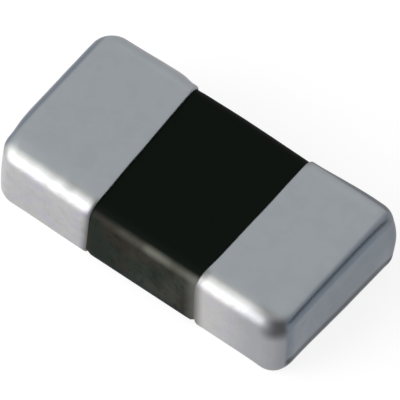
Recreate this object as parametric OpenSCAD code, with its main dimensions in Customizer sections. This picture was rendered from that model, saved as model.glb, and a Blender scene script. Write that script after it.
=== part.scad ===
// Chip varistor for surface mounting, 3.2 x 1.6 mm class, lying as it does on a board.
// A fired zinc-oxide block holds seven thin metal plates, one over the other. The plates reach
// the left and the right end in turn, and each end is dipped in silver, then plated with nickel
// and tin. The origin is under the middle of the chip, on the plane that its terminations rest
// on. X runs along the chip, Y across it and Z up. All sizes are in millimetres.

/* [Chip] */
// Length over the two plated ends
chip_length = 3.2; // [2.8:0.05:4.6]
// Width over the plated bands
chip_width = 1.7; // [1.3:0.02:3.2]
// Height over the plated bands
chip_height = 0.8; // [0.6:0.02:1.6]

/* [Zinc-oxide block] */
// Radius of the block's four upright corners, seen from above
corner_radius = 0.19; // [0.12:0.01:0.35]
// Radius of the block's tumbled edges
edge_radius = 0.09; // [0.03:0.01:0.11]

/* [Terminations] */
// Length of the left termination along the chip
left_band = 1.06; // [0.6:0.01:1.2]
// Length of the right termination along the chip
right_band = 0.94; // [0.6:0.01:1.2]
// How far the right end's front corner lies behind its back corner, because that dip ran askew
right_runout = 0.028; // [0.004:0.002:0.04]
// Thickness of the fired silver base along the block's sides
silver_thickness = 0.021; // [0.015:0.001:0.04]
// Thickness of the fired silver base over the block's end, where the dip runs thicker
silver_end = 0.06; // [0.04:0.001:0.08]
// Thickness of the nickel barrier over the silver
nickel_thickness = 0.005; // [0.004:0.001:0.01]
// Thickness of the tin plating over the nickel
tin_thickness = 0.009; // [0.006:0.001:0.015]

/* [Inner electrodes] */
// Thickness of one printed electrode
electrode_thickness = 0.004; // [0.002:0.001:0.008]
// Zinc oxide that covers the lowest and the highest electrode
cover_thickness = 0.125; // [0.115:0.005:0.2]
// Zinc oxide that is left beside an electrode on either side
side_margin = 0.25; // [0.15:0.01:0.4]
// Distance from the free end of an electrode to the far end of the block
end_margin = 0.38; // [0.2:0.01:0.6]

/* [Hidden] */
// Segments in a full turn
$fn = 64;
// Clearance between an electrode and its slot: the two are fired together and touch
fired_clearance = 0;
// How far a cut runs past the face that it leaves through
cut_past = 0.1;
// Number of electrodes in the stack
electrode_total = 7;

// The whole build-up of metal on the block's sides, and what an end has beyond it
coat_thickness = silver_thickness + nickel_thickness + tin_thickness;
end_extra = silver_end - silver_thickness;
block_length = chip_length - 2 * (coat_thickness + end_extra);
block_width = chip_width - 2 * coat_thickness;
block_height = chip_height - 2 * coat_thickness;

electrode_length = block_length - end_margin;
electrode_width = block_width - 2 * side_margin;
// Height from one electrode to the next
electrode_pitch = (block_height - 2 * cover_thickness - electrode_thickness) / (electrode_total - 1);

// Outer build-up after each layer
silver_grow = silver_thickness;
nickel_grow = silver_thickness + nickel_thickness;
tin_grow = coat_thickness;

block_colour = [0.10, 0.12, 0.11];
electrode_colour = [0.75, 0.74, 0.70];
silver_colour = [0.80, 0.80, 0.78];
nickel_colour = [0.62, 0.60, 0.56];
tin_colour = [0.66, 0.68, 0.70];

// A rectangle from the origin whose two far corners are rounded
module outer_round(reach, height, radius) {
    intersection() {
        square([reach, height]);
        union() {
            square([reach - radius, height]);
            translate([0, radius])
                square([reach, height - 2 * radius]);
            for (level = [radius, height - radius])
                translate([reach - radius, level])
                    circle(radius);
        }
    }
}

// A rectangle from the origin with one rounded corner, far out on both axes
module far_round(reach, height, radius) {
    intersection() {
        square([reach, height]);
        union() {
            square([reach - radius, height]);
            square([reach, height - radius]);
            translate([reach - radius, height - radius])
                circle(radius);
        }
    }
}

// Where the upright corners' centre line lies on a layer that reaches past the block's end
function corner_line(extra) = block_length / 2 + extra - corner_radius;

// One end of the block, grown by a layer, from its upright corners' centre line outwards. Its
// front corner lies behind its back corner by the run-out.
module block_end(grow, extra, runout) {
    corner = corner_radius + grow;
    tall = block_height + 2 * grow;
    half_across = block_width / 2 - corner_radius;
    askew = runout / (2 * half_across);
    translate([corner_line(extra), 0, coat_thickness - grow]) {
        translate([-runout / 2, 0, 0])
            multmatrix([[1, askew, 0, 0], [0, 1, 0, 0], [0, 0, 1, 0], [0, 0, 0, 1]])
                translate([0, half_across, 0])
                    rotate([90, 0, 0])
                        linear_extrude(2 * half_across)
                            outer_round(corner, tall, edge_radius + grow);
        translate([0, half_across, 0])
            rotate_extrude(angle = 90)
                outer_round(corner, tall, edge_radius + grow);
        translate([-runout, -half_across, 0])
            rotate([0, 0, -90])
                rotate_extrude(angle = 90)
                    outer_round(corner, tall, edge_radius + grow);
        // what lies between an end that is askew and a line straight across behind it
        if (runout > 0) {
            linear_extrude(tall)
                polygon([[-runout, -half_across], [0, half_across], [-runout, half_across]]);
            translate([-runout, half_across, 0])
                rotate([90, 0, 90])
                    linear_extrude(runout)
                        outer_round(corner, tall, edge_radius + grow);
        }
    }
}

// The block as pressed, fired and tumbled, before its slots
module plain_block() {
    half_across = block_width / 2;
    block_end(0, 0, 0);
    rotate([0, 0, 180])
        block_end(0, 0, 0);
    translate([-corner_line(0), 0, coat_thickness])
        rotate([90, 0, 90])
            linear_extrude(2 * corner_line(0)) {
                outer_round(half_across, block_height, edge_radius);
                mirror([1, 0])
                    outer_round(half_across, block_height, edge_radius);
            }
}

// The part of a dipped layer that runs back along the four sides. Its free end is a quarter
// round that meets the block's surface, the shape that a wet dip dries to.
module wrapped_band(grow, band, runout) {
    start = corner_line(end_extra) - runout;
    run = start - (chip_length / 2 - band) + grow - coat_thickness;
    half_across = block_width / 2 - edge_radius;
    upright = block_height - 2 * edge_radius;
    round_centre = coat_thickness + edge_radius;
    // over and under the block
    translate([start, -half_across, coat_thickness - grow])
        rotate([90, 0, 180])
            linear_extrude(2 * half_across)
                outer_round(run, block_height + 2 * grow, grow);
    for (side = [0, 1])
        mirror([0, side, 0])
            translate([start, half_across, round_centre]) {
                // beside the block
                linear_extrude(upright)
                    mirror([1, 0])
                        far_round(run, edge_radius + grow, grow);
                // round the block's two long edges on this side
                for (over = [0, 1])
                    translate([0, 0, over * upright])
                        mirror([0, 0, 1 - over])
                            rotate([0, -90, 0])
                                rotate_extrude(angle = 90)
                                    far_round(edge_radius + grow, run, grow);
            }
}

// The full solid that a layer reaches to, block included, at the right end
module dipped_end(grow, band, runout) {
    block_end(grow, end_extra, runout);
    wrapped_band(grow, band, runout);
}

// One layer of the right termination: what its dip adds to the layer under it
module layer(grow, under, band, runout) {
    difference() {
        dipped_end(grow, band, runout);
        if (under > 0)
            dipped_end(under, band, runout);
        plain_block();
    }
}

module silver_base(band, runout) {
    color(silver_colour)
        layer(silver_grow, 0, band, runout);
}

module nickel_barrier(band, runout) {
    color(nickel_colour)
        layer(nickel_grow, silver_grow, band, runout);
}

module tin_plating(band, runout) {
    color(tin_colour)
        layer(tin_grow, nickel_grow, band, runout);
}

// The room of one electrode that reaches the left end, with the clearance and the overrun asked
module electrode_room(level, clearance, past) {
    bottom = coat_thickness + cover_thickness + level * electrode_pitch;
    translate([-block_length / 2 - past, -electrode_width / 2 - clearance, bottom - clearance])
        cube([
            electrode_length + past + clearance,
            electrode_width + 2 * clearance,
            electrode_thickness + 2 * clearance
        ]);
}

// One electrode as printed, trimmed by the tumbling that rounds the block
module electrode(level) {
    color(electrode_colour)
        intersection() {
            electrode_room(level, 0, 0);
            plain_block();
        }
}

// Electrodes that reach the left end lie on the even levels, counted up from 0
module left_electrode(number) {
    electrode(2 * (number - 1));
}

// Electrodes that reach the right end lie on the odd levels
module right_electrode(number) {
    rotate([0, 0, 180])
        electrode(2 * number - 1);
}

module ceramic_body() {
    color(block_colour)
        difference() {
            plain_block();
            for (level = [0 : electrode_total - 1])
                rotate([0, 0, level % 2 == 0 ? 0 : 180])
                    electrode_room(level, fired_clearance, cut_past);
        }
}

ceramic_body();
left_electrode(1);  // left_electrode_1
left_electrode(2);  // left_electrode_2
left_electrode(3);  // left_electrode_3
left_electrode(4);  // left_electrode_4
right_electrode(1);  // right_electrode_1
right_electrode(2);  // right_electrode_2
right_electrode(3);  // right_electrode_3
rotate([0, 0, 180]) silver_base(left_band, 0);  // left_silver_base
rotate([0, 0, 180]) nickel_barrier(left_band, 0);  // left_nickel_barrier
rotate([0, 0, 180]) tin_plating(left_band, 0);  // left_tin_plating
silver_base(right_band, right_runout);  // right_silver_base
nickel_barrier(right_band, right_runout);  // right_nickel_barrier
tin_plating(right_band, right_runout);  // right_tin_plating
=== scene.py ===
"""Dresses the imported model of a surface-mount varistor chip and sets up its studio.

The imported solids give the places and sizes. The fired block and the three dipped or plated
layers of each termination are made again here as smooth meshes with the slightly uneven form
that a dipped end has. The printed electrodes inside keep their own solids.
"""

from __future__ import annotations

import logging
import math
from dataclasses import dataclass, field
from enum import Enum
from typing import Iterable

import bmesh
import bpy
from mathutils import Matrix, Vector, noise

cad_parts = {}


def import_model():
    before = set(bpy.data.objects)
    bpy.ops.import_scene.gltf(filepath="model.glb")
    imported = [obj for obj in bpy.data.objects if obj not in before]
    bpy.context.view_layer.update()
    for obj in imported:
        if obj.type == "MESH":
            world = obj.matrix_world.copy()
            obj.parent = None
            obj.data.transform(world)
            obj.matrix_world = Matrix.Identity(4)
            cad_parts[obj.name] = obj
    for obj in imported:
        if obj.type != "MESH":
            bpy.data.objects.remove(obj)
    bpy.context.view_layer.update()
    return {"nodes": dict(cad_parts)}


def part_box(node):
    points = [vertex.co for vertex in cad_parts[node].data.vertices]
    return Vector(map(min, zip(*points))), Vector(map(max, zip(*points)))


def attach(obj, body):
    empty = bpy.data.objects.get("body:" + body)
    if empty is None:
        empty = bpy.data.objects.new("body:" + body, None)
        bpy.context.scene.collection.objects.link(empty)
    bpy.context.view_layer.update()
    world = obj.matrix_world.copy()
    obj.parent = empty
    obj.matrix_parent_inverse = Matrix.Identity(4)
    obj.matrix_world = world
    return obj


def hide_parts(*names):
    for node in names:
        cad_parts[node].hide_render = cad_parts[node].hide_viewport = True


LOG = logging.getLogger("chip")

MM = 0.001
BODY = "root"

Triple = tuple[float, float, float]
Colour = Triple
Pair = tuple[float, float]
Span = Pair
Work = bmesh.types.BMesh

# where the right half's own marks come in, in millimetres from the chip's middle
RIGHT_HALF: Span = (0.0, 0.2)
# places nearer to each other than this, in millimetres, count as one
NEAR = 1e-5
# cuts and doubles nearer than this, in millimetres, are merged
WELD = 1e-6
# share of a face's normal from which it looks squarely along an axis
SQUARE_ON = 0.999
# an edge of a plain block that climbs more than this, in millimetres, is upright
UPRIGHT_CLIMB = 0.1


def tone(*levels: int) -> Colour:
    """Turns a display colour into the linear one that shaders take.

    Args:
        *levels: Red, green and blue, from 0 to 255.

    Returns:
        The linear colour, by the standard display curve.
    """
    return tuple(
        share / 12.92 if share <= 0.04045 else ((share + 0.055) / 1.055) ** 2.4
        for share in (level / 255 for level in levels)
    )


def soft_step(low: float, high: float, value: float) -> float:
    """Rises smoothly from 0, where a value is low or less, to 1, where it is high or more."""
    share = min(max((value - low) / (high - low), 0.0), 1.0)
    return share * share * (3 - 2 * share)


# ---- shader wiring


@dataclass(frozen=True)
class Patches:
    """A cloudy noise: a patch's width in millimetres, its finer octaves and their strength."""

    size: float
    detail: float = 2.0
    roughness: float = 0.5


@dataclass(frozen=True)
class Mark:
    """A tone that comes in over a span, and the share of it that is laid on at most.

    A span along the chip is in millimetres, and one over a noise is in the noise's own value.
    """

    tone: Colour
    span: Span
    share: float = 1.0


@dataclass(frozen=True)
class Wire:
    """One output of a shader node, on which plain arithmetic can be written."""

    bench: Bench
    socket: bpy.types.NodeSocket | None

    def _maths(self, operation: str, *values: Wire | float) -> Wire:
        """Adds one Math node, whose sockets take the values in order."""
        return self.bench.add("ShaderNodeMath", {"operation": operation}, dict(enumerate(values)))

    def __add__(self, other: Wire | float) -> Wire:
        """This value plus another."""
        return self._maths("ADD", self, other)

    def __sub__(self, other: Wire | float) -> Wire:
        """This value less another."""
        return self._maths("SUBTRACT", self, other)

    def __rsub__(self, other: float) -> Wire:
        """A number less this value."""
        return self._maths("SUBTRACT", other, self)

    def __mul__(self, other: Wire | float) -> Wire:
        """This value times another."""
        return self._maths("MULTIPLY", self, other)

    __radd__ = __add__
    __rmul__ = __mul__

    def magnitude(self) -> Wire:
        """This value without its sign."""
        return self._maths("ABSOLUTE", self)

    def at_least(self, other: Wire | float) -> Wire:
        """The larger of this value and another."""
        return self._maths("MAXIMUM", self, other)

    def ramp(self, low: float, high: float) -> Wire:
        """Maps this value from low and high to 0 and 1, smoothly and clamped.

        Args:
            low: Value that gives 0.
            high: Value that gives 1.

        Returns:
            The mapped value.
        """
        return self.bench.add(
            "ShaderNodeMapRange",
            {"interpolation_type": "SMOOTHSTEP", "clamp": True},
            {"Value": self, "From Min": low, "From Max": high},
        )

    def after(self, span: Span) -> Wire:
        """Rises from 0 to 1 over a span in millimetres."""
        return self.ramp(span[0] * MM, span[1] * MM)

    def until(self, span: Span) -> Wire:
        """Falls from 1 to 0 over a span in millimetres."""
        return 1 - self.after(span)


class Bench:
    """A material's or world's node tree, with one method that adds any node."""

    def __init__(self, tree: bpy.types.NodeTree) -> None:
        """Clears the tree and keeps it."""
        self.tree = tree
        tree.nodes.clear()

    def add(
        self,
        kind: str,
        settings: dict[str, object] | None = None,
        inputs: dict[object, object] | None = None,
        output: str | int = 0,
    ) -> Wire:
        """Adds a node, sets it up and links or fills its sockets.

        Args:
            kind: The node's type.
            settings: Node properties, set first.
            inputs: Socket name or number, with a wire or a plain value for each.
            output: Which output the returned wire starts from.

        Returns:
            A wire from the chosen output.
        """
        node = self.tree.nodes.new(kind)
        for name, value in (settings or {}).items():
            setattr(node, name, value)
        for name, value in (inputs or {}).items():
            if isinstance(value, Wire):
                self.tree.links.new(value.socket, node.inputs[name])
            else:
                node.inputs[name].default_value = value
        return Wire(self, node.outputs[output] if node.outputs else None)

    def blend(self, share: Wire | float, first: object, second: object) -> Wire:
        """Mixes two colours.

        Args:
            share: Share of the second colour.
            first: First colour or wire.
            second: Second colour or wire.

        Returns:
            The mixed colour.
        """
        first, second = (
            value if isinstance(value, Wire) else (*value, 1.0) for value in (first, second)
        )
        inputs = {0: share, 6: first, 7: second}
        return self.add("ShaderNodeMix", {"data_type": "RGBA"}, inputs, output=2)

    def place(self) -> Wire:
        """The point's place on the object, in metres."""
        return self.add("ShaderNodeTexCoord", output="Object")

    def aside(self, place: Wire, shift: Triple) -> Wire:
        """A place moved aside, so that a noise read there doesn't repeat another."""
        return self.add("ShaderNodeVectorMath", {"operation": "ADD"}, {0: place, 1: shift})

    def mottle(self, patches: Patches, at: Wire) -> Wire:
        """Cloudy noise with patches of a real size.

        Args:
            patches: The noise's size and fineness.
            at: Where it is read.

        Returns:
            The noise, from 0 to 1.
        """
        return self.add(
            "ShaderNodeTexNoise",
            {"noise_dimensions": "3D"},
            {
                "Vector": at,
                "Scale": 1.0 / (patches.size * MM),
                "Detail": patches.detail,
                "Roughness": patches.roughness,
            },
        )

    def lay(self, mark: Mark, share: Wire, under: object) -> Wire:
        """Lays a mark's tone on a colour, where share says how far the mark has come in."""
        return self.blend(mark.share * share, under, mark.tone)

    def bump(self, height: Wire, depth: float) -> Wire:
        """Tilts the normal by a height, of which 1 stands for a depth in metres."""
        return self.add("ShaderNodeBump", inputs={"Height": height, "Distance": depth})


# ---- finishes


def new_surface(name: str) -> tuple[bpy.types.Material, Bench]:
    """Starts a node material.

    Args:
        name: The material's name.

    Returns:
        The material and the bench on its nodes.
    """
    material = bpy.data.materials.new(name)
    material.use_nodes = True
    return material, Bench(material.node_tree)


def close_surface(bench: Bench, inputs: dict[object, object]) -> None:
    """Ends a material in one Principled shader, whose sockets get the inputs."""
    shader = bench.add("ShaderNodeBsdfPrincipled", inputs=inputs)
    bench.add("ShaderNodeOutputMaterial", inputs={"Surface": shader})


@dataclass(frozen=True)
class Spot:
    """Where on the chip a shaded point lies, in metres, and the two noises it is marked by."""

    place: Wire
    rightward: Wire
    backward: Wire
    height: Wire
    clouds: Wire
    blots: Wire

    @classmethod
    def read(cls, bench: Bench, clouds: Patches, blots: Patches) -> Spot:
        """Reads the point's place and its noises.

        Args:
            bench: The material's nodes.
            clouds: The broad noise.
            blots: The fine noise.

        Returns:
            The spot.
        """
        place = bench.place()
        parts = bench.add("ShaderNodeSeparateXYZ", inputs={0: place})
        sides = (Wire(bench, parts.socket.node.outputs[name]) for name in "XYZ")
        return cls(place, *sides, bench.mottle(clouds, place), bench.mottle(blots, place))

    @property
    def right(self) -> Wire:
        """Whether the point is on the right half of the chip."""
        return self.rightward.after(RIGHT_HALF)


@dataclass(frozen=True)
class TinFinish:
    """Matte tin, even on the flats and clouded on the long sides, with painted light and shade:
    the long sides lighter and the bluer end faces darker than the flats.
    """

    name: str = "plated_tin"
    flat: Colour = tone(148, 153, 157)
    flat_clouds: Mark = Mark(tone(145, 150, 154), (0.4, 0.7))
    # painted light: the long sides are lighter than the flats
    side: Colour = tone(179, 179, 179)
    side_clouds: Mark = Mark(tone(166, 166, 168), (0.45, 0.7), 0.8)
    side_tints: Mark = Mark(tone(175, 172, 183), (0.45, 0.65), 0.8)
    side_blots: Mark = Mark(tone(166, 166, 168), (0.5, 0.75), 0.35)
    bright_wall: Mark = Mark(tone(184, 183, 181), (0.7, 1.05), 0.7)
    dark_wall: Mark = Mark(tone(152, 153, 157), (0.85, 1.32), 0.9)
    # painted shade where the right front corner turns towards the end face
    corner_wall_shade: Mark = Mark(tone(141, 143, 148), (1.45, 1.55))
    # painted shade: the end faces are darker than the flats, and bluer
    end: Colour = tone(109, 117, 127)
    end_clouds: Mark = Mark(tone(105, 113, 123), (0.4, 0.7))
    end_light: Mark = Mark(tone(121, 126, 134), (0.45, 0.75))
    # painted shade: a dark band along the foot of the right end face, for the shaded floor that
    # its bottom rim reflects
    end_foot_shade: Mark = Mark(tone(48, 52, 60), (0.09, 0.14))
    foot_shade_top: Span = (0.155, 0.23)
    rim: Colour = tone(156, 158, 156)
    # painted shade on the front rim, which dims its highlight where it is to start, break and
    # stop
    rim_painted_shade: Colour = tone(112, 113, 114)
    # where painted shade on the right rim lets its highlight come in and go out: the share, then
    # the span
    rim_start: Triple = (0.7, 0.66, 0.74)
    rim_stop: Triple = (0.85, 1.14, 1.36)
    # where painted shade breaks the left rim's highlight into beads: the place, the reach and the
    # share
    bead_gaps: tuple[Triple, ...] = ((-0.775, 0.1, 0.35), (-0.955, 0.08, 0.12))
    # the darker margins of the rims and walls by the block, a painted shade that dims the lip's
    # glint and the rim's highlight there, the left one leaning with height
    right_margin_shade: Mark = Mark(tone(88, 88, 87), (0.605, 0.745))
    left_margin_shade: Mark = Mark(tone(62, 62, 62), (0.485, 0.625))
    margin_shade_lean: float = 0.08
    margin_shade_level: float = 0.35 * MM
    corner_shade: Mark = Mark(tone(66, 66, 70), (1.29, 1.48), 0.82)
    shade_foot: Span = (0.49, 0.66)
    shade_top: Span = (0.735, 0.79)
    back_rim: Mark = Mark(tone(108, 111, 115), (0.735, 0.775))
    back_rim_level: Span = (0.6, 0.7)
    back_rim_left: float = 0.3
    back_rim_right: float = 0.7
    brink: Span = (0.64, 0.735)
    side_span: Span = (0.735, 0.8)
    corner: Span = (0.55, 0.65)
    corner_level: Span = (0.62, 0.7)
    end_span: Span = (1.485, 1.53)
    # where the end faces' darker tone, a painted shade, starts: a point of that line, its slant
    # and its width
    turn_at: Pair = (1.341 * MM, 0.6 * MM)
    turn: float = math.radians(68.0)
    turn_span: Span = (-0.045, 0.01)
    clouds: Patches = Patches(0.17, 3.0, 0.55)
    blots: Patches = Patches(0.06, 2.0, 0.6)
    grain: Patches = Patches(0.012, 2.0, 0.6)
    tints: Patches = Patches(0.15)
    tint_shift: Triple = (0.003, 0.007, 0.005)
    # roughness of the bare metal, and what clouds, rims and clouded sides add
    roughness: tuple[float, ...] = (0.3, 0.05, 0.16, 0.1)
    # height of the grain, of the sides' blots and of the rims' clouds
    rises: Triple = (0.4, 0.8, 1.8)
    relief: float = 0.0022 * MM

    def wall(self, bench: Bench, spot: Spot) -> Wire:
        """Colour of the long sides: painted light makes them lighter than the flats; they are
        brighter by the right border, darker towards the end, and carry painted shade where the
        right front corner turns.

        Args:
            bench: The material's nodes.
            spot: Where the point lies.

        Returns:
            The colour.
        """
        tints = bench.mottle(self.tints, bench.aside(spot.place, self.tint_shift))
        marks = (self.side_clouds, self.side_tints, self.side_blots)
        wall = self.side
        for mark, patches in zip(marks, (spot.clouds, tints, spot.blots)):
            wall = bench.lay(mark, patches.ramp(*mark.span), wall)
        bright = spot.right * spot.rightward.until(self.bright_wall.span)
        wall = bench.lay(self.bright_wall, bright, wall)
        # darker towards the end, and painted shade where the right front corner turns
        for mark in (self.dark_wall, self.corner_wall_shade):
            wall = bench.lay(mark, spot.rightward.after(mark.span), wall)
        return wall

    def end_face(self, bench: Bench, spot: Spot) -> Wire:
        """Colour of the end faces, darker than the flats as painted shade, lighter to the back
        and with painted shade along the right one's foot.

        Args:
            bench: The material's nodes.
            spot: Where the point lies.

        Returns:
            The colour.
        """
        face = bench.lay(self.end_clouds, spot.clouds.ramp(*self.end_clouds.span), self.end)
        face = bench.lay(self.end_light, spot.backward.after(self.end_light.span), face)
        # painted shade along the right end face's foot
        foot = spot.height.after(self.end_foot_shade.span) * spot.height.until(self.foot_shade_top)
        return bench.lay(self.end_foot_shade, spot.right * foot, face)

    def top(self, bench: Bench, spot: Spot) -> Wire:
        """Colour of the flats and of the front rim, with painted shade that makes the rim's
        highlight start, break into beads and stop.

        Args:
            bench: The material's nodes.
            spot: Where the point lies.

        Returns:
            The colour.
        """
        front = (-1 * spot.backward).after(self.brink)
        # painted shade on the rim where its highlight comes in, goes out and breaks into beads
        share, *span = self.rim_start
        rim_shade = share * spot.right * spot.rightward.until(span)
        share, *span = self.rim_stop
        rim_shade = rim_shade.at_least(share * spot.rightward.after(span))
        for at, reach, share in self.bead_gaps:
            away = (spot.rightward - at * MM).magnitude()
            rim_shade = rim_shade.at_least(share * away.until((0.0, reach)))
        flat = bench.lay(self.flat_clouds, spot.clouds.ramp(*self.flat_clouds.span), self.flat)
        return bench.blend(rim_shade * front, bench.blend(front, flat, self.rim), self.rim_painted_shade)

    def material(self) -> bpy.types.Material:
        """Builds the material.

        Returns:
            The material.
        """
        material, bench = new_surface(self.name)
        spot = Spot.read(bench, self.clouds, self.blots)
        rightward, height, right = spot.rightward, spot.height, spot.right
        along = rightward.magnitude()
        forward = -1 * spot.backward
        across = forward.magnitude()
        brink = across.after(self.brink)
        past = math.cos(self.turn) * (along - self.turn_at[0])
        past = past - math.sin(self.turn) * (forward - self.turn_at[1])
        end = along.after(self.end_span) * past.after(self.turn_span)
        corner = forward.after(self.corner)
        side = across.after(self.side_span).at_least(corner * height.until(self.corner_level))
        colour = self.top(bench, spot)
        # painted light: the long sides take their lighter wall colour
        colour = bench.blend(side, colour, self.wall(bench, spot))
        # painted shade by the block, dimming the lip's glint and the rim's highlight
        thin = right * rightward.until(self.right_margin_shade.span)
        colour = bench.lay(self.right_margin_shade, brink * thin, colour)
        reach = along + self.margin_shade_lean * (height - self.margin_shade_level)
        thin = (1 - right) * reach.until(self.left_margin_shade.span)
        colour = bench.lay(self.left_margin_shade, brink * thin, colour)
        shade = rightward.after(self.corner_shade.span) * corner
        shade = shade * height.after(self.shade_foot) * height.until(self.shade_top)
        colour = bench.lay(self.corner_shade, shade, colour)
        ledge = spot.backward.after(self.back_rim.span) * height.after(self.back_rim_level)
        ledge = (self.back_rim_left + self.back_rim_right * right) * ledge
        colour = bench.lay(self.back_rim, ledge, colour)
        # painted shade: the end faces take their darker tone
        colour = bench.blend(end, colour, self.end_face(bench, spot))
        clouds, blots = spot.clouds, side * spot.blots
        grain = bench.mottle(self.grain, spot.place)
        bare, clouded, rimmed, blotted = self.roughness
        fine, blotched, wavy = self.rises
        close_surface(
            bench,
            {
                "Base Color": colour,
                "Metallic": 1.0,
                "Roughness": bare + clouded * clouds + rimmed * brink + blotted * blots,
                "Normal": bench.bump(
                    fine * grain + blotched * blots + wavy * brink * clouds, self.relief
                ),
            },
        )
        return material


@dataclass(frozen=True)
class FiredOxideFinish:
    """Fired zinc oxide: near-black pressed faces, mottled sides and a painted highlight along the
    sides' top edges.
    """

    name: str = "fired_zinc_oxide"
    pressed: Colour = tone(8, 13, 9)
    brown: Colour = tone(38, 34, 28)
    green: Mark = Mark(tone(26, 33, 28), (0.42, 0.6))
    cut: Mark = Mark(tone(56, 58, 53), (0.25, 0.7))
    pits: Mark = Mark(tone(8, 13, 9), (0.5, 0.72), 0.5)
    blue: Mark = Mark(tone(26, 31, 36), (0.05, 0.22))
    # painted highlight: a paler tone along the top edges of the long sides
    edge_highlight: Mark = Mark(tone(112, 112, 104), (0.628, 0.71), 0.78)
    # paler beside the right coat
    pale_by_coat: Mark = Mark(tone(102, 102, 98), (0.5, 0.68), 0.9)
    ledge: Mark = Mark(tone(6, 8, 7), (0.7, 0.74), 0.9)
    side_span: Span = (0.745, 0.8)
    pale_span: Span = (-0.55, 0.5)
    pale_least: float = 0.05
    pale_gain: float = 0.8
    # how strong the painted highlight on the top front edge is at its left, and what two steps to
    # the right add
    highlight_least: float = 0.1
    highlight_steps: tuple[Triple, ...] = ((0.25, -0.3, -0.15), (0.65, 0.02, 0.12))
    # where the painted highlight is weaker again: the place, the reach and the share
    highlight_dip: Triple = (0.42, 0.22, 0.3)
    # the even share of the painted highlight, and what the broad noise adds
    highlight_clouds: Pair = (0.5, 0.6)
    clouds: Patches = Patches(0.22)
    tints: Patches = Patches(0.34, 1.0)
    blots: Patches = Patches(0.05, 3.0, 0.6)
    tint_shift: Triple = (0.004, 0.002, 0.007)
    # roughness at least, and what the fine noise adds
    roughness: Pair = (0.52, 0.12)
    shine: float = 0.03
    blot_rise: float = 0.4
    relief: float = 0.003 * MM

    def highlight_share(self, along: Wire, clouds: Wire) -> Wire:
        """How strong the painted highlight on the edge is from place to place.

        Args:
            along: The point's place along the chip.
            clouds: The broad noise.

        Returns:
            The highlight's strength, from 0 to about 1.
        """
        highlight_share = self.highlight_least
        for gain, *span in self.highlight_steps:
            highlight_share = highlight_share + gain * along.after(span)
        at, reach, share = self.highlight_dip
        highlight_share = highlight_share * (1 - share * (along - at * MM).magnitude().until((0.0, reach)))
        return highlight_share * (self.highlight_clouds[0] + self.highlight_clouds[1] * clouds)

    def material(self) -> bpy.types.Material:
        """Builds the material.

        Returns:
            The material.
        """
        material, bench = new_surface(self.name)
        spot = Spot.read(bench, self.clouds, self.blots)
        along, backward, height = spot.rightward, spot.backward, spot.height
        clouds, blots = spot.clouds, spot.blots
        tints = bench.mottle(self.tints, bench.aside(spot.place, self.tint_shift))
        side = backward.magnitude().after(self.side_span)
        level = height.after(self.edge_highlight.span)
        pale = self.pale_least + self.pale_gain * along.after(self.pale_span)
        colour = bench.lay(self.green, tints.ramp(*self.green.span), self.brown)
        colour = bench.lay(self.cut, pale * clouds.ramp(*self.cut.span), colour)
        colour = bench.lay(self.pits, blots.ramp(*self.pits.span), colour)
        colour = bench.lay(self.blue, height.until(self.blue.span), colour)
        # painted highlight along the sides' top edges
        colour = bench.lay(self.edge_highlight, self.highlight_share(along, clouds) * level, colour)
        colour = bench.lay(self.pale_by_coat, along.after(self.pale_by_coat.span), colour)
        colour = bench.blend(side, self.pressed, colour)
        colour = bench.lay(self.ledge, backward.after(self.ledge.span) * level, colour)
        smooth, rough = self.roughness
        close_surface(
            bench,
            {
                "Base Color": colour,
                "Roughness": smooth + rough * blots,
                "Specular IOR Level": self.shine,
                "Normal": bench.bump(self.blot_rise * blots + side * clouds, self.relief),
            },
        )
        return material


@dataclass(frozen=True)
class FilmFinish:
    """A thin metal film inside the chip: fired paste or a plated layer."""

    name: str
    light: Colour
    dark: Colour
    roughness: float
    cloud_span: Span = (0.3, 0.7)
    clouds: Patches = Patches(0.06, 3.0, 0.6)
    grain: Patches = Patches(0.01, 2.0, 0.6)
    grain_rough: float = 0.15
    rises: Pair = (0.6, 0.4)
    relief: float = 0.0015 * MM

    def material(self) -> bpy.types.Material:
        """Builds the material.

        Returns:
            The material.
        """
        material, bench = new_surface(self.name)
        place = bench.place()
        clouds = bench.mottle(self.clouds, place)
        grain = bench.mottle(self.grain, place)
        rise = self.rises[0] * grain + self.rises[1] * clouds
        close_surface(
            bench,
            {
                "Base Color": bench.blend(clouds.ramp(*self.cloud_span), self.dark, self.light),
                "Metallic": 1.0,
                "Roughness": self.roughness + self.grain_rough * grain,
                "Normal": bench.bump(rise, self.relief),
            },
        )
        return material


SILVER_BASE = FilmFinish("fired_silver", tone(214, 211, 203), tone(178, 174, 166), 0.5)
NICKEL = FilmFinish("plated_nickel", tone(196, 189, 174), tone(172, 165, 151), 0.34)
ELECTRODE = FilmFinish("silver_palladium_film", tone(190, 186, 178), tone(158, 154, 147), 0.42)


# ---- mesh work


def new_object(name: str, data: bpy.types.ID) -> bpy.types.Object:
    """Adds an object to the scene."""
    thing = bpy.data.objects.new(name, data)
    bpy.context.scene.collection.objects.link(thing)
    return thing


def shell_object(name: str, work: Work) -> bpy.types.Object:
    """Turns finished mesh work, drawn in millimetres, into a smooth object in metres.

    Args:
        name: The object's name.
        work: The mesh in millimetres, which is used up.

    Returns:
        The object, at the origin.
    """
    bmesh.ops.scale(work, vec=(MM, MM, MM), verts=work.verts)
    mesh = bpy.data.meshes.new(name)
    for face in work.faces:
        face.smooth = True
    work.to_mesh(mesh)
    work.free()
    return new_object(name, mesh)


def plain_box(low: Vector, high: Vector) -> Work:
    """Starts a mesh from a plain box.

    Args:
        low: Its lowest corner.
        high: Its highest corner.

    Returns:
        The mesh.
    """
    work = bmesh.new()
    place = Matrix.Translation((low + high) / 2)
    bmesh.ops.create_cube(work, size=1, matrix=place @ Matrix.Diagonal((*(high - low), 1)))
    return work


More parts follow.
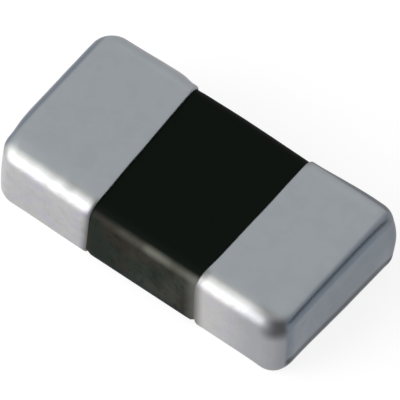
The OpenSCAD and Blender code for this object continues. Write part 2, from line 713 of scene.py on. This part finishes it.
def cut_across(work: Work, geometry: list[object], axis: int, value: float, merge: float) -> None:
    """Cuts a mesh by a plane across X, Y or Z.

    Args:
        work: The mesh.
        geometry: The points, edges and faces to cut.
        axis: Number of the axis that the plane stands across.
        value: Where it stands.
        merge: Points this near to the plane count as on it.
    """
    point, normal = Vector((0, 0, 0)), Vector((0, 0, 0))
    point[axis] = value
    normal[axis] = 1
    bmesh.ops.bisect_plane(work, geom=geometry, dist=merge, plane_co=point, plane_no=normal)


def cut_grid(work: Work, low: Vector, high: Vector, pitch: float) -> None:
    """Cuts a mesh by planes across X, Y and Z, so that its flats can take a gentle relief.

    Args:
        work: The mesh.
        low: Lowest corner of what is cut.
        high: Highest corner.
        pitch: Distance from plane to plane.
    """
    for axis in range(3):
        span = high[axis] - low[axis]
        cuts = max(2, round(span / pitch))
        for step in range(1, cuts):
            everything = [*work.verts, *work.edges, *work.faces]
            cut_across(work, everything, axis, low[axis] + span * step / cuts, NEAR)
    bmesh.ops.remove_doubles(work, verts=work.verts, dist=WELD)


def all_at(verts: Iterable[bmesh.types.BMVert], axis: int, value: float) -> bool:
    """Whether all of some points lie at one value along an axis."""
    return all(abs(vert.co[axis] - value) < NEAR for vert in verts)


def faces_at(work: Work, along: float) -> list[bmesh.types.BMFace]:
    """The faces that lie in one plane across X."""
    return [face for face in work.faces if all_at(face.verts, 0, along)]


def edge_faces_along(edge: bmesh.types.BMEdge, axis: int) -> bool:
    """Whether an edge has a face that looks along an axis on one side only."""
    hits = [abs(face.normal[axis]) > SQUARE_ON for face in edge.link_faces]
    return len(hits) == 2 and hits[0] != hits[1]


def bevel(work: Work, edges: list[bmesh.types.BMEdge], radius: float, segments: int) -> None:
    """Rounds edges.

    Args:
        work: The mesh.
        edges: The edges to round.
        radius: The round's radius.
        segments: Facets across the round.
    """
    bmesh.ops.bevel(
        work,
        geom=edges,
        offset=radius,
        offset_type="OFFSET",
        segments=segments,
        profile=0.5,
        affect="EDGES",
        clamp_overlap=False,
        material=-1,
    )


@dataclass(frozen=True)
class Swell:
    """A soft fat or thin spot where a dip dried unevenly, in millimetres."""

    centre: Triple
    spread: Triple
    push: Triple

    def at(self, point: Vector) -> Vector:
        """How far the spot pushes a point.

        Args:
            point: The point, in millimetres.

        Returns:
            The push, in millimetres.
        """
        offset = point - Vector(self.centre)
        away = sum((offset[axis] / self.spread[axis]) ** 2 for axis in range(3))
        return Vector(self.push) * math.exp(-away)


def swollen(swells: list[Swell], point: Vector) -> Vector:
    """How far all the swells together push a point."""
    return sum((swell.at(point) for swell in swells), Vector((0, 0, 0)))


class Side(Enum):
    """Which end of the chip a termination is on."""

    LEFT = "left"
    RIGHT = "right"


@dataclass(frozen=True)
class RoundedBlock:
    """A block with rounded upright corners and rounded rims, as a distance field."""

    low: Vector
    high: Vector
    corner: float
    rim: float
    step: float = 1e-4

    def distance(self, point: Vector) -> float:
        """Distance from the block's surface, negative inside.

        Args:
            point: The point, in millimetres.

        Returns:
            The distance, in millimetres.
        """
        middle = (self.low + self.high) / 2
        reach = (self.high - self.low) / 2
        along = abs(point.x - middle.x) - reach.x + self.corner
        across = abs(point.y - middle.y) - reach.y + self.corner
        plan = math.hypot(max(along, 0.0), max(across, 0.0)) + min(max(along, across), 0.0)
        plan += self.rim - self.corner
        height = abs(point.z - middle.z) - reach.z + self.rim
        outside = math.hypot(max(plan, 0.0), max(height, 0.0))
        return outside + min(max(plan, height), 0.0) - self.rim

    def outwards(self, point: Vector) -> Vector:
        """Direction in which the distance grows fastest.

        Args:
            point: The point, in millimetres.

        Returns:
            A unit vector.
        """
        steps = [self.step * Vector(axis) for axis in ((1, 0, 0), (0, 1, 0), (0, 0, 1))]
        slope = [self.distance(point + step) - self.distance(point - step) for step in steps]
        return Vector(slope).normalized()


@dataclass
class FiredBlock:
    """The zinc-oxide block, tumbled, with a slot for each printed electrode."""

    node: str = "ceramic_body"
    corner_radius: float = 0.22
    edge_radius: float = 0.14
    segments: int = 10
    pitch: float = 0.045
    relief: float = 0.0012
    # the relief's two waves per millimetre, the finer one's share, its mean and its gain
    waves: Pair = (6.0, 17.0)
    fine_share: float = 0.5
    mean_depth: float = 0.5
    depth_gain: float = 0.33
    back_worn: float = 0.009
    bare: Span = (-0.535, 0.6)
    bare_rise: float = 0.05
    swells: list[Swell] = field(default_factory=list)
    electrodes: list[str] = field(default_factory=list)

    def __post_init__(self) -> None:
        """Reads the block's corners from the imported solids, in millimetres."""
        low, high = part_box(self.node)
        self.low = Vector(low) / MM
        self.high = Vector(high) / MM - Vector((0, self.back_worn, 0))

    def surface(self) -> RoundedBlock:
        """The block's plain form, for what is laid on it."""
        return RoundedBlock(self.low, self.high, self.corner_radius, self.edge_radius)

    def rounded(self) -> Work:
        """Makes the block with its upright corners and tumbled edges rounded.

        Returns:
            The mesh, in millimetres.
        """
        work = plain_box(self.low, self.high)
        upright = [
            edge
            for edge in work.edges
            if abs(edge.verts[0].co.z - edge.verts[1].co.z) > UPRIGHT_CLIMB
        ]
        bevel(work, upright, self.corner_radius, self.segments)
        rims = [edge for edge in work.edges if edge_faces_along(edge, 2)]
        bevel(work, rims, self.edge_radius, self.segments)
        return work

    def open_slots(self, work: Work) -> None:
        """Pushes a slot into the end faces for each electrode.

        Args:
            work: The block's mesh.
        """
        for name in self.electrodes:
            low, high = (Vector(corner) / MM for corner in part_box(name))
            sign = -1 if abs(low.x - self.low.x) < abs(high.x - self.high.x) else 1
            end = self.low.x if sign < 0 else self.high.x
            for axis, value in ((2, low.z), (2, high.z), (1, low.y), (1, high.y)):
                faces = faces_at(work, end)
                edges = {edge for face in faces for edge in face.edges}
                verts = {vert for face in faces for vert in face.verts}
                cut_across(work, [*verts, *edges, *faces], axis, value, WELD)
            mouth = [
                face
                for face in faces_at(work, end)
                if low.z < face.calc_center_median().z < high.z
                and low.y < face.calc_center_median().y < high.y
            ]
            grown = bmesh.ops.extrude_face_region(work, geom=mouth)
            floor = [item for item in grown["geom"] if isinstance(item, bmesh.types.BMVert)]
            bmesh.ops.translate(work, verts=floor, vec=(-sign * (high.x - low.x), 0, 0))

    def weather(self, work: Work) -> None:
        """Gives the bare middle of the block the faint waviness of a fired surface.

        Args:
            work: The block's mesh.
        """
        work.normal_update()
        for vert in work.verts:
            inside = min(vert.co.x - self.bare[0], self.bare[1] - vert.co.x)
            bare = soft_step(-self.bare_rise / 2, self.bare_rise / 2, inside)
            broad, fine = (noise.noise(vert.co * wave) for wave in self.waves)
            depth = self.mean_depth + self.depth_gain * (broad + self.fine_share * fine)
            push = swollen(self.swells, vert.co)
            vert.co += bare * (push - vert.normal * self.relief * depth)

    def build(self) -> bpy.types.Object:
        """Builds the block.

        Returns:
            The dressed block.
        """
        work = self.rounded()
        cut_grid(work, self.low, self.high, self.pitch)
        self.weather(work)
        self.open_slots(work)
        bmesh.ops.recalc_face_normals(work, faces=work.faces)
        piece = shell_object("fired_block", work)
        piece.data.materials.append(FiredOxideFinish().material())
        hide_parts(self.node)
        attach(piece, BODY)
        return piece


@dataclass
class Termination:
    """One dipped end: fired silver, then nickel, then tin, each a closed thin skin."""

    side: Side
    block: RoundedBlock
    end: float
    border: float
    lean: float = 0.0
    droop: float = 0.0
    front: float = -0.822
    back: float = 0.8345
    top: float = 0.789
    front_corner: float = 0.222
    back_corner: float = 0.222
    top_rim: float = 0.123
    bottom_rim: float = 0.123
    swells: list[Swell] = field(default_factory=list)
    border_swells: list[Swell] = field(default_factory=list)
    lip: float = 0.03
    corner_segments: int = 16
    rim_segments: int = 12
    lip_segments: int = 6
    pitch: float = 0.034
    # height of the ripples, their two waves per millimetre and the finer one's share
    relief: float = 0.0012
    waves: Pair = (4.5, 11.0)
    fine_share: float = 0.4
    # how far the border wanders, and its waves per millimetre
    wander: float = 0.004
    wander_waves: float = 3.0
    # how far the dip's own form runs on past its free edge
    run_on: float = 1.0
    nickel_share: float = 0.257
    silver_share: float = 0.4
    foot_weld: float = 2e-4

    def corners(self) -> tuple[Vector, Vector]:
        """Corners of the tin's outer face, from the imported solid's floor and this dip's walls.

        Returns:
            The lowest and the highest corner, in millimetres.
        """
        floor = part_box(f"{self.side.value}_tin_plating")[0][2] / MM
        near, far = sorted((self.end, self.border))
        return Vector((near, self.front, floor)), Vector((far, self.back, self.top))

    def skin(self) -> Work:
        """Makes the tin's outer face as an open cap.

        Returns:
            The mesh, in millimetres, open towards the chip's middle.
        """
        low, high = self.corners()
        work = plain_box(low, high)
        for wall, radius in ((self.front, self.front_corner), (self.back, self.back_corner)):
            upright = [
                edge
                for edge in work.edges
                if all_at(edge.verts, 0, self.end) and all_at(edge.verts, 1, wall)
            ]
            bevel(work, upright, radius, self.corner_segments)
        for level, radius in ((self.top, self.top_rim), (low.z, self.bottom_rim)):
            rim = [
                edge
                for edge in work.edges
                if edge_faces_along(edge, 2)
                and all_at(edge.verts, 2, level)
                and not all_at(edge.verts, 0, self.border)
            ]
            bevel(work, rim, radius, self.rim_segments)
        mouth = faces_at(work, self.border)
        around = [
            edge
            for edge in {edge for face in mouth for edge in face.edges}
            if sum(face in mouth for face in edge.link_faces) == 1
        ]
        bevel(work, around, self.lip, self.lip_segments)
        bmesh.ops.delete(work, geom=faces_at(work, self.border), context="FACES")
        cut_grid(work, low, high, self.pitch)
        bmesh.ops.recalc_face_normals(work, faces=work.faces)
        return work

    def profile(self) -> RoundedBlock:
        """The dip's own form, run on past its free edge."""
        low, high = self.corners()
        if self.side is Side.LEFT:
            high.x += self.run_on
        else:
            low.x -= self.run_on
        return RoundedBlock(low, high, min(self.front_corner, self.back_corner), self.top_rim)

    def settle_lip(self, work: Work) -> dict[bmesh.types.BMVert, float]:
        """Brings the rounded free edge down to meet the block all round.

        Args:
            work: The skin.

        Returns:
            How freely each point of the lip may swell, from 0 at its foot to 1 at the wall.
        """
        profile = self.profile()
        freedom = {}
        for vert in work.verts:
            if abs(vert.co.x - self.border) > self.lip + NEAR:
                continue
            outwards = profile.outwards(vert.co)
            depth = -profile.distance(vert.co)
            foot = vert.co - outwards * (self.lip - depth)
            thickness = self.lip + self.block.distance(foot)
            vert.co += outwards * depth * (1 - thickness / self.lip)
            freedom[vert] = min(max(1 - depth / self.lip, 0.0), 1.0)
        return freedom

    def shape(self, work: Work) -> None:
        """Moves a skin to the uneven form that the dip dried to.

        Args:
            work: The skin.
        """
        freedom = self.settle_lip(work)
        work.normal_update()
        span = abs(self.end - self.border)
        floor = self.corners()[0].z
        for vert in work.verts:
            place = vert.co.copy()
            broad, fine = (noise.noise(place * wave) for wave in self.waves)
            ripple = self.relief * (broad + self.fine_share * fine)
            push = swollen(self.swells, place) + vert.normal * ripple
            vert.co += freedom.get(vert, 1.0) * push
            shift = self.lean * place.y + self.droop * (place.z / self.top - 1)
            level = Vector((self.end, place.y * self.wander_waves, place.z * self.wander_waves))
            shift += self.wander * noise.noise(level)
            shift += swollen(self.border_swells, place).x
            vert.co.x += (1 - soft_step(0.0, span, abs(place.x - self.border))) * shift
            vert.co.z = max(vert.co.z, floor)

    def layer(
        self, name: str, node: str, skin: Work, shares: Pair, finish: FilmFinish | TinFinish
    ) -> bpy.types.Object:
        """Makes one layer as a closed thin solid between two depths of the dip.

        Args:
            name: Name of the finished piece, without its side.
            node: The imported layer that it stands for, without its side.
            skin: The tin's outer face.
            shares: Depth of its outer and its inner face, from 0 at the tin to 1 at the block.
            finish: The layer's finish.

        Returns:
            The dressed piece.
        """
        closed = bmesh.new()
        for share in shares:
            face = skin.copy()
            for vert in face.verts:
                depth = share * self.block.distance(vert.co)
                vert.co -= self.block.outwards(vert.co) * depth
            if share == shares[1]:
                bmesh.ops.reverse_faces(face, faces=face.faces)
            mesh = bpy.data.meshes.new("face")
            face.to_mesh(mesh)
            face.free()
            closed.from_mesh(mesh)
            bpy.data.meshes.remove(mesh)
        rims = [edge for edge in closed.edges if len(edge.link_faces) == 1]
        foot = list({vert for edge in rims for vert in edge.verts})
        bmesh.ops.remove_doubles(closed, verts=foot, dist=self.foot_weld)
        piece = shell_object(f"{self.side.value}_{name}", closed)
        piece.data.materials.append(finish.material())
        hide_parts(f"{self.side.value}_{node}")
        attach(piece, BODY)
        return piece

    def build(self) -> list[bpy.types.Object]:
        """Builds the three layers.

        Returns:
            The layers, from the block outwards.
        """
        skin = self.skin()
        self.shape(skin)
        nickel, silver = self.nickel_share, self.silver_share
        pieces = [
            self.layer("silver_coat", "silver_base", skin, (silver, 1.0), SILVER_BASE),
            self.layer("nickel_coat", "nickel_barrier", skin, (nickel, silver), NICKEL),
            self.layer("tin_coat", "tin_plating", skin, (0.0, nickel), TinFinish()),
        ]
        skin.free()
        return pieces


# ---- studio


@dataclass(frozen=True)
class Panel:
    """A flat lamp or card that faces the chip, placed and sized in millimetres."""

    name: str
    towards: Triple
    away: float
    size: Pair
    radiance: float = 0.0


@dataclass
class Studio:
    """White floor, soft lamps and the camera at the photograph's angle."""

    azimuth: float = 36.5
    elevation: float = 56.5
    roll: float = 1.35
    pixels_per_mm: float = 115.8
    image: float = 400.0
    # a place inside the chip, in millimetres, and the pixel that it falls on
    mark: Triple = (0.005, 0.00625, 0.3945)
    mark_at: Pair = (195.06, 202.46)
    distance: float = 140.0
    sensor: float = 36.0
    clip: Pair = (0.01, 10.0)
    lamps: tuple[Panel, ...] = (
        Panel("front_lamp", (-0.585, -0.697, 0.38), 30, (27, 24), 5.2),
        Panel("top_front_lamp", (-0.36, -0.28, 0.89), 30, (22, 11), 1.8),
    )
    dark_card: Panel = Panel("right_card", (0.9, 0.28, 0.235), 24, (26, 6.8))
    card_tone: float = 0.02
    floor_reach: float = 600.0
    # the floor lies a hair below the chip, so that the two never share a plane
    floor_drop: float = 0.003
    floor_grain: Patches = Patches(1.5)
    floor_tones: Pair = (0.18, 0.2)
    floor_glow: float = 0.84
    # light of the surround, and what it adds where it is seen itself
    air: float = 0.55
    air_seen: float = 0.45

    def axes(self) -> tuple[Vector, Vector, Vector]:
        """Directions of the image's right, its top and towards the camera.

        Returns:
            The three unit vectors.
        """
        turn = math.radians(self.azimuth)
        rise = math.radians(self.elevation)
        level = math.cos(rise)
        back = Vector((math.sin(turn) * level, -math.cos(turn) * level, math.sin(rise)))
        right = Vector((math.cos(turn), math.sin(turn), 0))
        up = back.cross(right)
        lean = math.radians(self.roll)
        tilted_right = right * math.cos(lean) + up * math.sin(lean)
        tilted_up = up * math.cos(lean) - right * math.sin(lean)
        return tilted_right, tilted_up, back

    def camera(self) -> None:
        """Places the camera so that the chip fills the frame as it does in the photograph."""
        right, up, back = self.axes()
        centre = self.image / 2
        aim = (
            Vector(self.mark)
            + right * (centre - self.mark_at[0]) / self.pixels_per_mm
            + up * (self.mark_at[1] - centre) / self.pixels_per_mm
        )
        data = bpy.data.cameras.new("camera")
        data.sensor_width = self.sensor
        data.lens = self.sensor * self.distance * self.pixels_per_mm / self.image
        data.clip_start, data.clip_end = self.clip
        camera = new_object("camera", data)
        turn = Matrix((right, up, back)).transposed().to_4x4()
        camera.matrix_world = Matrix.Translation((aim + back * self.distance) * MM) @ turn
        bpy.context.scene.camera = camera

    def lamp(self, panel: Panel) -> None:
        """Hangs one soft lamp, whose radiance of 1 is white.

        Args:
            panel: The lamp.
        """
        data = bpy.data.lights.new(panel.name, "AREA")
        data.shape = "RECTANGLE"
        data.size = panel.size[0] * MM
        data.size_y = panel.size[1] * MM
        data.energy = panel.radiance * math.pi * data.size * data.size_y
        lamp = new_object(panel.name, data)
        direction = Vector(panel.towards).normalized()
        lamp.location = direction * panel.away * MM
        lamp.rotation_euler = direction.to_track_quat("Z", "Y").to_euler()
        lamp.visible_camera = False

    def card(self, panel: Panel) -> None:
        """Stands a dark card that only reflections see.

        Args:
            panel: The card.
        """
        work = bmesh.new()
        direction = Vector(panel.towards).normalized()
        turn = direction.to_track_quat("Z", "Y").to_matrix().to_4x4()
        place = Matrix.Translation(direction * panel.away) @ turn
        bmesh.ops.create_grid(work, x_segments=1, y_segments=1, size=0.5)
        bmesh.ops.scale(work, vec=(*panel.size, 1), verts=work.verts)
        bmesh.ops.transform(work, matrix=place, verts=work.verts)
        card = shell_object(panel.name, work)
        material, bench = new_surface(panel.name)
        dark = (self.card_tone, self.card_tone, self.card_tone, 1)
        close_surface(bench, {"Base Color": dark, "Roughness": 1.0, "Specular IOR Level": 0.0})
        card.data.materials.append(material)
        card.visible_camera = card.visible_diffuse = card.visible_shadow = False

    def seen(self, bench: Bench) -> Wire:
        """Share of a ray that shows the background: camera, glossy and transmission rays."""
        names = ("Is Camera Ray", "Is Glossy Ray", "Is Transmission Ray")
        path = bench.add("ShaderNodeLightPath")
        wires = [Wire(bench, path.socket.node.outputs[name]) for name in names]
        return wires[0].at_least(wires[1]).at_least(wires[2])

    def floor(self) -> None:
        """Lays the white floor, which keeps the chip's shadow."""
        work = bmesh.new()
        bmesh.ops.create_grid(work, x_segments=1, y_segments=1, size=self.floor_reach)
        bmesh.ops.translate(work, verts=work.verts, vec=(0, 0, -self.floor_drop))
        floor = shell_object("floor", work)
        material, bench = new_surface("white_floor")
        grain = bench.mottle(self.floor_grain, bench.place())
        first, second = ((level, level, level) for level in self.floor_tones)
        paint = bench.add(
            "ShaderNodeBsdfDiffuse", inputs={"Color": bench.blend(grain, first, second)}
        )
        glow = bench.add(
            "ShaderNodeEmission",
            inputs={"Color": (1, 1, 1, 1), "Strength": self.floor_glow * self.seen(bench)},
        )
        both = bench.add("ShaderNodeAddShader", inputs={0: paint, 1: glow})
        bench.add("ShaderNodeOutputMaterial", inputs={"Surface": both})
        floor.data.materials.append(material)

    def world(self) -> None:
        """Sets an even white surround that lights at a plain level."""
        world = bpy.data.worlds.new("studio")
        bpy.context.scene.world = world
        world.use_nodes = True
        bench = Bench(world.node_tree)
        level = self.air + self.air_seen * self.seen(bench)
        air = bench.add("ShaderNodeBackground", inputs={"Color": (1, 1, 1, 1), "Strength": level})
        bench.add("ShaderNodeOutputWorld", inputs={"Surface": air})

    def build(self) -> None:
        """Sets up the whole studio."""
        self.camera()
        self.floor()
        self.world()
        for panel in self.lamps:
            self.lamp(panel)
        self.card(self.dark_card)
        bpy.context.scene.view_settings.view_transform = "Standard"


# ---- whole chip


def terminations(block: RoundedBlock) -> list[Termination]:
    """Sets out the left dip and the right one, which ran fat towards its back corner.

    Args:
        block: The block's surface.

    Returns:
        The two terminations.
    """
    left = Termination(
        Side.LEFT,
        block,
        end=-1.592,
        border=-0.535,
        lean=-0.042,
        droop=0.05,
        top_rim=0.13,
        swells=[
            Swell((-1.565, -0.76, 0.76), (0.22, 0.22, 0.3), (0.018, 0.014, -0.012)),
            Swell((-1.445, 0.8, 0.75), (0.35, 0.25, 0.3), (0.003, -0.01, -0.004)),
            Swell((-1.585, -0.56, 0.75), (0.2, 0.14, 0.3), (0.016, 0, 0)),
            Swell((-0.655, 0.83, 0.6), (0.25, 0.2, 0.6), (0, 0.006, 0)),
            Swell((-0.59, 0.83, 0.65), (0.09, 0.25, 0.4), (0, -0.024, 0)),
            Swell((-1.15, -0.8, 0.77), (0.7, 0.12, 0.12), (0, 0.011, -0.011)),
            Swell((-0.7, -0.83, 0.66), (0.42, 0.28, 0.4), (0, -0.013, -0.006)),
            Swell((-1.28, -0.73, 0.79), (0.38, 0.11, 0.08), (0, 0, -0.006)),
            Swell((-1.2, -0.8, 0.07), (0.45, 0.2, 0.2), (0, 0.004, 0.005)),
            Swell((-0.79, -0.78, 0.75), (0.06, 0.15, 0.15), (0, 0.005, -0.005)),
            Swell((-0.965, -0.78, 0.75), (0.055, 0.15, 0.15), (0, 0.0035, -0.0035)),
            Swell((-1.18, -0.78, 0.75), (0.055, 0.15, 0.15), (0, 0.0025, -0.0025)),
        ],
    )
    right = Termination(
        Side.RIGHT,
        block,
        end=1.563,
        border=0.66,
        back_corner=0.15,
        swells=[
            Swell((1.585, 0.85, 0.3), (0.3, 0.6, 0.5), (0.03, 0.007, 0)),
            Swell((1.56, 0.84, 0.45), (0.15, 0.2, 0.28), (0.037, 0, 0)),
            Swell((1.56, 0.84, 0.4), (0.12, 0.12, 0.32), (0, 0.013, 0)),
            Swell((1.5, 0.83, 0.78), (0.14, 0.13, 0.18), (-0.01, -0.008, 0)),
            Swell((1.47, -0.75, 0.77), (0.15, 0.15, 0.2), (-0.004, 0.006, -0.008)),
            Swell((1.565, -0.7, 0.05), (0.25, 0.45, 0.32), (-0.018, 0.0, 0)),
            Swell((0.665, 0.83, 0.6), (0.35, 0.3, 0.8), (0, -0.028, 0)),
            Swell((1.5, -0.8, 0.05), (0.16, 0.14, 0.3), (0.012, -0.013, 0)),
            Swell((0.95, -0.8, 0.77), (0.5, 0.12, 0.12), (0, 0.011, -0.013)),
            Swell((1.565, 0.15, 0.1), (0.25, 0.32, 0.22), (0.006, 0, 0)),
            Swell((1.000, -0.84, 0.64), (0.5, 0.12, 0.14), (0, -0.01, 0)),
        ],
        border_swells=[
            Swell((0.665, -0.85, 0.3), (1.0, 0.22, 0.5), (-0.038, 0, 0)),
        ],
    )
    return [left, right]


def dress_electrodes(names: list[str]) -> None:
    """Gives the printed electrodes their film.

    Args:
        names: The electrodes' nodes.
    """
    material = ELECTRODE.material()
    for name in names:
        solid = bpy.data.objects[name]
        if not solid.material_slots:
            solid.data.materials.append(material)
        for slot in solid.material_slots:
            slot.material = material


def main() -> None:
    """Builds the studio, then the chip from the block outwards."""
    logging.basicConfig(level=logging.INFO, format="%(message)s")
    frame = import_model()
    Studio().build()
    electrodes = sorted(name for name in frame["nodes"] if "electrode" in name)
    dress_electrodes(electrodes)
    LOG.info("dressed %d electrodes", len(electrodes))
    block = FiredBlock(
        electrodes=electrodes,
        swells=[
            Swell((0.05, -0.82, 0.05), (5.0, 0.3, 0.45), (0, -0.016, -0.027)),
            Swell((-0.05, 0.82, 0.7), (0.5, 0.25, 0.5), (0, 0.011, 0)),
        ],
    )
    pieces = [block.build()]
    for end in terminations(block.surface()):
        pieces += end.build()
    for piece in pieces:
        LOG.info("built %s with %d faces", piece.name, len(piece.data.polygons))


if __name__ == "__main__":
    main()
